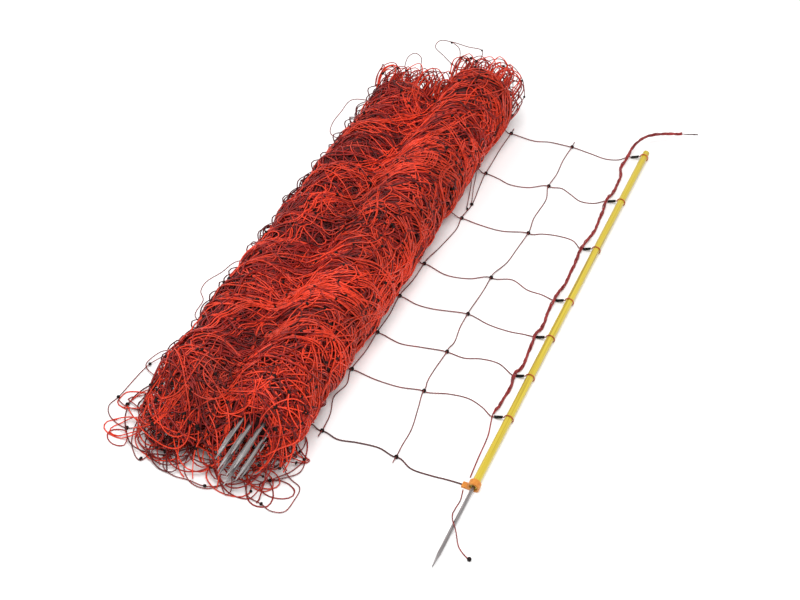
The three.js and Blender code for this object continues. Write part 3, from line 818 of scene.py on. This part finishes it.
def slope_height(x, y):
    """Height of the layers over the near end at a place on the floor, in millimetres."""
    top = 0.0
    for centre, height in ((LOBE_OFFSET, RIGHT_HEIGHT), (-LOBE_OFFSET, LEFT_HEIGHT), (0, FOLD_HEIGHT)):
        half = (height + LOBE_SINK) / 2
        across = 1 - ((x - centre) / (LOBE_WIDTH / 2 + 4)) ** 2
        if across > 0:
            top = max(top, half - LOBE_SINK + half * math.sqrt(across))
    share = min(1.0, max(0.0, (SLOPE_TOP - y) / (SLOPE_TOP - SLOPE_FOOT)))
    fall = 1 - share ** 1.45
    return max(top * fall, drape_height(x, y))


def past_spikes(x, y, z):
    """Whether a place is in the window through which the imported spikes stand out."""
    return y < WINDOW_START and ((x - SPIKES_X) / WINDOW_WIDE) ** 2 + ((z - SPIKES_Z) / WINDOW_TALL) ** 2 < 1


slope_lines = []
for strand in range(SLOPE_STRANDS):
    x = chance.uniform(*SLOPE_STARTS)
    y = DRAPE_BACK - 104 * chance.random() ** 1.3
    heading = chance.choice(SLOPE_HEADINGS) + chance.gauss(0, 0.5)
    curl = chance.choice(SLOPE_CURLS) * chance.choice([-1, 1])
    seed = chance.uniform(*SEEDS)
    depth = chance.uniform(*SLOPE_DEPTHS)
    line = []
    for i in range(round(chance.uniform(*SLOPE_LENGTHS) / (SLOPE_STEP * MM))):
        z = slope_height(x, y) - depth
        if past_spikes(x, y, z) and strand % 4:
            break
        z += 2.5 * noise.noise(Vector((i * 0.3, seed, 2.0)))
        line.append(Vector((x, y, max(1.8, z))) * MM)
        tilt = (slope_height(x, y + 2) - slope_height(x, y - 2)) / 4
        run = SLOPE_STEP / math.sqrt(1 + (tilt * math.sin(heading)) ** 2)
        x += math.cos(heading) * run
        y += math.sin(heading) * run
        heading += (curl * (0.35 + noise.noise(Vector((i * 0.17, seed, 5.0))))) * SLOPE_STEP * MM
        if not (-SLOPE_HALF < x < SLOPE_HALF and SLOPE_FOOT < y < SLOPE_BACK):
            break
        if slope_height(x, y) < OPEN_HEIGHT and strand % 9:
            break
    if len(line) >= FEWEST_POINTS:
        line = smooth_line(line, SLOPE_SPACING)
        slope_lines.append(line)
        bundle_lines[("bright", "deep", "bright", "dark", "deep")[strand % 5]].append(line)

# Far end and left side: ragged loops that run past the bundle's edge, with the light showing between them.
RIGHT_FAR_LOOPS = 120
LEFT_FAR_LOOPS = 170
SIDE_LOOPS = 230
FAR_HALVES = (8, 22)
FAR_SPACING, SIDE_SPACING = 0.007, 0.009


def ragged_loop(x, end, height, half, out, lean):
    """A loop that comes out of a roll's end, goes round and back into it."""
    return smooth_line(metres([
        (x - half * 0.7, end - 36, height - 12), (x - half, end - 12, height - 4),
        (x - half * 0.9, end - 4 + out * 0.6, height), (x + lean, end + out, height + 2),
        (x + half * 0.9, end - 4 + out * 0.6, height - 3), (x + half, end - 14, height - 6),
        (x + half * 0.7, end - 38, height - 14)]), FAR_SPACING)


for strand in range(RIGHT_FAR_LOOPS):
    x = chance.uniform(2, 120)
    height = chance.uniform(42, 132)
    half = chance.uniform(*FAR_HALVES)
    out = chance.uniform(0, 34) * (1 - ((x - 62) / 90) ** 2)
    lean = chance.uniform(-10, 10)
    shade = "bright" if chance.random() < 0.5 else "deep"
    bundle_lines[shade].append(ragged_loop(x, RIGHT_ENDS[1] - 2, height, half, out, lean))
for strand in range(LEFT_FAR_LOOPS):
    x = chance.uniform(-122, 12)
    height = chance.uniform(44, 122 if x < -30 else 136)
    half = chance.uniform(*FAR_HALVES)
    out = chance.uniform(-6, 44) * (1 - ((x + 58) / 110) ** 2)
    # Fewer of the left end's loops are bright than the right end's: painted shade on the left lobe.
    shade = "bright" if chance.random() < 0.4 else "deep"
    bundle_lines[shade].append(ragged_loop(x, LEFT_ENDS[1], height, half, out, 0))
for strand in range(SIDE_LOOPS):
    y = chance.uniform(-440, 400)
    half = chance.uniform(12, 44)
    out = chance.uniform(1, 13)
    height = chance.uniform(38, 96)
    points = [
        (-118, y - half, height - 8), (-128 - out * 0.4, y - half * 0.6, height), (-131 - out, y, height + 2),
        (-128 - out * 0.5, y + half * 0.7, height - 3), (-116, y + half, height - 6)]
    # All the left side's loops are dark red: painted shade of the left flank.
    bundle_lines["dark"].append(smooth_line(metres(points), SIDE_SPACING))

# Shades of the imported strands: bright, deep and dark red, partly a random spread of the twine's tones and
# partly painted shade on the deeper strands and on the left of the bundle. Each shade's strands are swept into
# pieces of a thousand.
bundle_shades = {
    "bright": ((0.74, 0.046, 0.015), (0.2, 0.01, 0.006), 0.34),
    "deep": ((0.33, 0.012, 0.007), (0.05, 0.003, 0.003), 0.4),
    "dark": ((0.11, 0.006, 0.006), (0.012, 0.002, 0.002), 0.5),
}
STRANDS_A_PIECE = 1000
FLOOR_LAY = 0.0014
for shade, lines in bundle_lines.items():
    red, tracer, roughness = bundle_shades[shade]
    material = twine_material(f"bundle_{shade}", red, tracer, turns=14.0, roughness=roughness)
    for number, start in enumerate(range(0, len(lines), STRANDS_A_PIECE)):
        part = []
        for line in lines[start:start + STRANDS_A_PIECE]:
            part.append([Vector((p.x, p.y, max(p.z, FLOOR_LAY))) for p in line])
        piece = sweep(f"bundle_{shade}_{number + 1}", part, STRAND_RADIUS * MM)
        piece.data.materials.append(material)
        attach(piece, "root")

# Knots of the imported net: the same black lumps, wherever a crossing shows on the layers and on the drape.
PACKED_KNOTS = 420
DRAPE_KNOTS = 80
ON_LAYERS = 0.03
BEFORE_BUNDLE = -0.48
LUMP_LAY = 0.0036
lumps = bmesh.new()
places = []
while len(places) < PACKED_KNOTS:
    line = chance.choice(bundle_lines["bright"])
    spot = chance.choice(line)
    if spot.z > ON_LAYERS:
        places.append(spot)
low_lines = [line for line in drape_lines + slope_lines if line[len(line) // 2].y < BEFORE_BUNDLE]
places += [chance.choice(chance.choice(low_lines)) for _ in range(DRAPE_KNOTS)]
fringe_knots = [
    (-209, -474, 3.6), (-199, -390, 6), (-160, -526, 3.6), (-113, -531, 3.6), (-105, -572, 3.6),
    (-142, -429, 20), (112, -573, 3.6), (15, -578, 3.6), (-73, -551, 3.6), (119, -456, 3.6),
    (133, -468, 3.6), (-56, 590, 94), (15, 581, 100), (64, 560, 88), (109, 571, 58), (128, 536, 46),
    (110, 480, 44), (137, 208, 4), (140, 224, 4), (-28, 524, 90), (86, 560, 74), (105, 529, 56),
]
places += metres(fringe_knots)
for spot in places:
    lump = bmesh.ops.create_icosphere(lumps, subdivisions=1, radius=chance.uniform(2.6, 3.9) * MM)["verts"]
    bmesh.ops.scale(lumps, vec=(chance.uniform(0.8, 1.25), chance.uniform(0.8, 1.25), 0.85), verts=lump)
    bmesh.ops.translate(lumps, vec=(spot.x, spot.y, max(spot.z, LUMP_LAY)), verts=lump)
packed_knots = piece_of("packed_knots", lumps)
packed_knots.data.shade_smooth()
packed_knots.data.materials.append(knot_black)
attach(packed_knots, "root")

# Fringe: strings of the net's edge that stand out of the bundle in loops and stubs, each laid one by one.
fringe_routes = {
    "edge_loop_1": [
        (-120, -335, 46), (-146, -341, 40), (-171, -362, 20), (-199, -390, 6), (-209, -474, 3),
        (-213, -496, 3), (-199, -515, 3), (-160, -526, 3), (-137, -507, 3), (-124, -482, 6),
        (-100, -466, 12)],
    "edge_loop_2": [
        (-130, -396, 30), (-165, -410, 20), (-168, -447, 6), (-169, -478, 3), (-157, -494, 3),
        (-146, -529, 3), (-132, -555, 3), (-105, -575, 3), (-94, -556, 3), (-73, -551, 3), (-50, -556, 5),
        (-30, -520, 14), (-28, -480, 20)],
    "edge_loop_3": [
        (10, -478, 20), (0, -520, 14), (16, -549, 10), (37, -566, 3), (54, -580, 3), (57, -572, 3),
        (50, -554, 4), (37, -530, 12), (40, -480, 20)],
    "edge_loop_4": [
        (60, -480, 20), (54, -534, 12), (70, -549, 3), (86, -568, 3), (112, -573, 3), (131, -579, 3),
        (151, -572, 3), (155, -547, 3), (152, -521, 3), (129, -510, 3), (104, -490, 8), (100, -462, 14)],
    "edge_loop_5": [
        (-84, 396, 70), (-105, 467, 80), (-120, 494, 78), (-127, 531, 78), (-119, 543, 80),
        (-102, 535, 80), (-89, 505, 80), (-75, 469, 82), (-66, 398, 76)],
    "edge_loop_6": [
        (50, 486, 110), (42, 560, 96), (60, 586, 86), (75, 577, 76), (91, 561, 66), (105, 529, 56),
        (112, 496, 50), (110, 459, 50)],
    "left_knot": [
        (-118, -352, 50), (-167, -366, 30), (-194, -364, 12), (-206, -392, 4), (-175, -412, 8),
        (-132, -424, 20)],
    "left_spur": [
        (-206, -479, 3), (-187, -486, 3), (-161, -484, 3), (-135, -475, 6), (-105, -458, 20)],
    "mid_corner": [
        (-80, -470, 26), (-90, -486, 14), (-103, -504, 6), (-113, -531, 3), (-90, -529, 3),
        (-60, -519, 6), (-21, -490, 20)],
    "bottom_1": [
        (-60, -486, 26), (-64, -531, 10), (-72, -553, 5), (-62, -573, 3), (-40, -580, 3), (-15, -578, 3),
        (15, -578, 3), (39, -565, 5), (50, -500, 20)],
    "bottom_2": [
        (-38, -486, 26), (-35, -535, 14), (-32, -561, 5), (-8, -581, 3), (18, -582, 3), (37, -568, 3),
        (60, -545, 8), (64, -488, 20)],
    "right_1": [
        (70, -478, 44), (90, -452, 34), (104, -420, 14), (117, -431, 4), (119, -456, 3), (105, -483, 6),
        (80, -490, 24)],
    "right_2": [
        (76, -482, 34), (96, -480, 22), (111, -460, 8), (133, -468, 3), (138, -493, 3), (121, -514, 4),
        (95, -538, 8), (62, -530, 8), (40, -490, 20)],
    "far_corner": [
        (20, 490, 96), (-28, 524, 90), (-54, 544, 90), (-84, 569, 90), (-82, 591, 92), (-56, 593, 94),
        (-18, 587, 96), (15, 581, 100), (30, 492, 108)],
    "far_inner": [
        (-56, 593, 94), (-36, 581, 92), (-24, 558, 90), (-8, 500, 92), (4, 486, 92)],
    "far_stub": [
        (-120, 396, 74), (-141, 445, 76), (-159, 465, 76), (-165, 483, 78), (-155, 471, 78),
        (-120, 400, 70)],
    "far_right_2": [
        (66, 488, 100), (64, 560, 88), (79, 590, 74), (96, 588, 62), (112, 571, 56), (118, 560, 52),
        (128, 536, 46), (123, 509, 42), (110, 470, 44)],
    "far_right_3": [
        (74, 486, 90), (80, 553, 78), (84, 580, 70), (100, 571, 62), (94, 546, 62), (96, 524, 62),
        (92, 484, 60)],
    "hang_1": [
        (122, 300, 66), (128, 290, 54), (122, 270, 40), (124, 258, 20), (128, 240, 8), (136, 207, 4)],
    "hang_2": [
        (124, 278, 60), (132, 262, 46), (134, 246, 28), (136, 236, 10), (140, 222, 4)],
    "side_1": [
        (-130, 360, 76), (-174, 353, 70), (-180, 315, 64), (-181, 277, 60), (-170, 249, 58),
        (-128, 236, 60)],
    "side_2": [
        (-124, -140, 64), (-158, -156, 60), (-170, -186, 56), (-185, -216, 52), (-183, -238, 50),
        (-168, -256, 50), (-165, -290, 44), (-126, -306, 40)],
}
# The fringe's twine, and the panel twine given to the far-end fringe, are coloured much darker reds than the
# same twine on the bundle: painted shade of thin strands seen against the pale floor.
fringe_dark = {
    "edge_loop_5", "edge_loop_6", "far_corner", "far_inner", "far_stub", "far_right_2", "hang_1", "hang_2"}
fringe_twine_painted_shade = twine_material("fringe_twine_painted_shade", (0.26, 0.022, 0.018), (0.03, 0.006, 0.006),
                              shade_scale=CORD_SHADES)
FRINGE_STEP = 0.0035
for name, points in fringe_routes.items():
    replaced = name if name.startswith("edge_loop") else None
    twine = panel_twine_painted_shade if name in fringe_dark else fringe_twine_painted_shade
    lay_cord(name.replace("edge_loop", "edge_string"), points, TWINE, twine_section, twine, replaced,
             step=FRINGE_STEP, far_end="bare" if name.startswith("hang") else "object")

# End post: a yellow plastic shaft on a plain drawn steel spike, with faint dark streaks along the shaft that
# are partly drawn lines in the plastic and partly painted shade of its rounded sides. The imported posts'
# spikes are the same steel.
shaft_yellow = mottled(
    "shaft_yellow", 0.32, 1.0,
    [(0.32, (0.3, 0.21, 0.012)), (0.46, (0.52, 0.39, 0.02)), (0.7, (0.64, 0.5, 0.045))],
    detail=3.0, stretch=(420.0, 4.0, 420.0))
shaft_yellow.node_tree.nodes["Principled BSDF"].inputs["Coat Weight"].default_value = 0.25
dress(shaft_yellow, "post_shaft")
spike_steel = mottled("spike_steel", 0.38, 1.0, [(0.3, (0.19, 0.175, 0.175)), (0.7, (0.42, 0.4, 0.4))],
                      stretch=(900.0, 25.0, 900.0), metallic=1.0)
dress(spike_steel, "post_spike", "packed_spike")

# Sleeves: short black tubes shrunk over the wire ends beside the post.
sleeve_black = mottled("sleeve_black", 0.6, 300.0,
                       [(0.4, (0.004, 0.004, 0.004)), (0.8, (0.02, 0.019, 0.018))], specular=0.12)
dress(sleeve_black, "sleeve_")

# Foot clip: an orange plastic band round the shaft's foot, with a lug that holds the foot wire and the lead.
clip_orange = mottled("clip_orange", 0.4, 160.0, [(0.35, (0.5, 0.16, 0.015)), (0.7, (0.66, 0.26, 0.03))])
dress(clip_orange, "foot_clip")

# Connection lead: five loose strands twisted together, from the foot clip up beside the post and out past its
# top. Below the lowest sleeve only one strand goes on to the clip. Its far end is bare steel.
LEAD = 4.6
LEAD_TAIL = 2.2
LEAD_CLIMB = 6
CLIMB_STEPS = 3
BARE_DROP = 2
LEAD_X = POST_X - SLEEVE_START - 2
over_wire = sleeve_low + SLEEVE / 2 + GAP + LEAD / 2 + 0.4
over_thin = sleeve_low + SLEEVE / 2 + GAP + LEAD_TAIL / 2 + 0.6
lead_lay = LEAD / 2 + FLOOR_GAP + 0.4
lead_tail = [[-20, -300], [-17, -350], [-14, -392]]
lead_wander = [
    [[-34, 450], [-27, 425], [-24, 375]],
    [[-24, 290], [-22, 240]],
    [[-26, 150], [-24, 90]],
    [[-27, 5], [-24, -35]],
    [[-25, -95], [-23, -140]],
    [[-24, -190], [-26, -228]],
]
lead_rise = [
    [-31, 478], [-29, 495], [-26, 508], [-18, 523], [-8, 538], [6, 552], [24, 561], [40, 567], [52, 573]]
lead_end = [[60, 578], [70, 585], [80, 592]]
LOWEST_HELD = 6
low_route = [(POST_X + x, y, LEAD_TAIL / 2 + FLOOR_GAP + GAP) for x, y in reversed(lead_tail)]
low_route.append((LEAD_X, wire_levels[LOWEST_HELD] - 4, over_thin))
lead_route = [(LEAD_X, wire_levels[LOWEST_HELD] + 6, over_wire)]
for level in range(LOWEST_HELD - 1, -1, -1):
    lead_route += [(POST_X + x, y, lead_lay) for x, y in reversed(lead_wander[level])]
    if level > 0:
        lead_route.append((LEAD_X, wire_levels[level], over_wire))
for i, (x, y) in enumerate(lead_rise):
    lead_route.append((POST_X + x, y, over_wire + min(i, CLIMB_STEPS) * LEAD_CLIMB))
LEAD_STEP = 0.003
lead_line = smooth_line(metres(low_route + lead_route), LEAD_STEP)
tail_count = sum(1 for p in lead_line if p.y < wire_levels[LOWEST_HELD] * MM)
STRAND_FLOOR = 0.0013
WIDENING_START = 4
WIDENING_STEPS = 12


def twisted_strands(line, strands, radius, pitch, looseness, first=0):
    """Strands wound round a line; the ones after the first begin at a given point on it."""
    wound = []
    for strand in range(strands):
        turn = 2 * math.pi * strand / strands
        path = []
        for i in range(first if strand else 0, len(line)):
            ahead = (line[min(i + 1, len(line) - 1)] - line[max(i - 1, 0)]).normalized()
            side = ahead.cross(Vector((0, 0, 1))).normalized()
            up = side.cross(ahead)
            grown = min(1.0, max(0.0, (i - first + WIDENING_START) / WIDENING_STEPS))
            turn += 2 * math.pi * LEAD_STEP / pitch
            swing = radius * grown * (1 + looseness * noise.noise(Vector((i * 0.11, strand * 7.0, 1.0))))
            spot = line[i] + side * swing * math.cos(turn) + up * swing * math.sin(turn)
            spot.z = max(spot.z, STRAND_FLOOR)
            path.append(spot)
        wound.append(path)
    return wound


LEAD_STRANDS, LEAD_SWING, LEAD_PITCH = 5, 2.0, 0.055
lead_paths = twisted_strands(lead_line, LEAD_STRANDS, LEAD_SWING * MM, LEAD_PITCH, 0.7, tail_count)
lead = sweep("lead_strands", lead_paths, 1.1 * MM, sides=6)
lead.data.materials.append(
    twine_material("lead_red", (0.3, 0.03, 0.03), (0.04, 0.008, 0.008), turns=60.0, shade_scale=40.0))
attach(lead, "root")
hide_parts("connection_lead")
lead_top = lead_route[-1]
bare_route = [(lead_top[0] + 0.2, lead_top[1] + 0.2, lead_top[2])]
bare_route += [(POST_X + x, y, lead_top[2] - BARE_DROP * (i + 1)) for i, (x, y) in enumerate(lead_end)]
bare_line = smooth_line(metres(bare_route), LEAD_STEP)
BARE_STRANDS, BARE_SWING, BARE_PITCH = 4, 0.9, 0.026
bare_paths = twisted_strands(bare_line, BARE_STRANDS, BARE_SWING * MM, BARE_PITCH, 0.6)
bare = sweep("bare_strands", bare_paths, 0.6 * MM, sides=6)
bare.data.materials.append(
    mottled("bare_steel", 0.35, 260.0, [(0.35, (0.1, 0.05, 0.05)), (0.65, (0.24, 0.18, 0.18))], metallic=0.6))
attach(bare, "root")
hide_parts("lead_bare_end")

# Loose tail: the end of the post's own string, which crosses over the spike and is stopped by a knot.
tail_path = [[-15, -9], [-11, -30], [-12, -50]]
tail_over = [[-8, -70], [-4, -79], [3, -88], [9, -97]]
tail_far = [[20, -112], [31, -121], [40, -126]]
over_spike = post_height + SPIKE / 2 + GAP + TWINE / 2 + 0.5
tail_points = [(POST_X + x, NET_FOOT + y, lay_height) for x, y in tail_path]
tail_points += [(POST_X + x, NET_FOOT + y, over_spike) for x, y in tail_over]
tail_points += [(POST_X + x, NET_FOOT + y, lay_height) for x, y in tail_far]
lay_cord("tail_string", tail_points, TWINE, twine_section, fringe_twine_painted_shade, "loose_tail", far_end="knot",
         with_pieces=["tail_knot"])

# Floor and light: a plain pale floor under a broad soft studio light.
FLOOR_HALF = 12.0
floor_mesh = bmesh.new()
bmesh.ops.create_grid(floor_mesh, x_segments=1, y_segments=1, size=FLOOR_HALF)
floor = piece_of("floor", floor_mesh)
floor_white, _, _, shader = new_material("floor_white", 0.9, specular=0.1)
shader.inputs["Base Color"].default_value = (0.93, 0.93, 0.93, 1)
floor.data.materials.append(floor_white)
world = bpy.data.worlds.new("studio")
world.use_nodes = True
world.node_tree.nodes["Background"].inputs["Color"].default_value = (1, 1, 1, 1)
world.node_tree.nodes["Background"].inputs["Strength"].default_value = 0.75
scene.world = world
scene.view_settings.view_transform = "Standard"
for name, place, turn, size, power in [
    ("key", (0.6, -0.8, 2.6), (math.radians(18), math.radians(12), 0.0), 1.6, 55.0),
    ("fill", (-1.8, 0.4, 1.8), (math.radians(-5), math.radians(-45), 0.0), 1.6, 14.0),
]:
    light = bpy.data.lights.new(name, "AREA")
    light.size = size
    light.energy = power
    lamp = bpy.data.objects.new(name, light)
    lamp.location = place
    lamp.rotation_euler = turn
    scene.collection.objects.link(lamp)

bpy.data.objects.remove(twine_section)
bpy.data.objects.remove(foot_section)
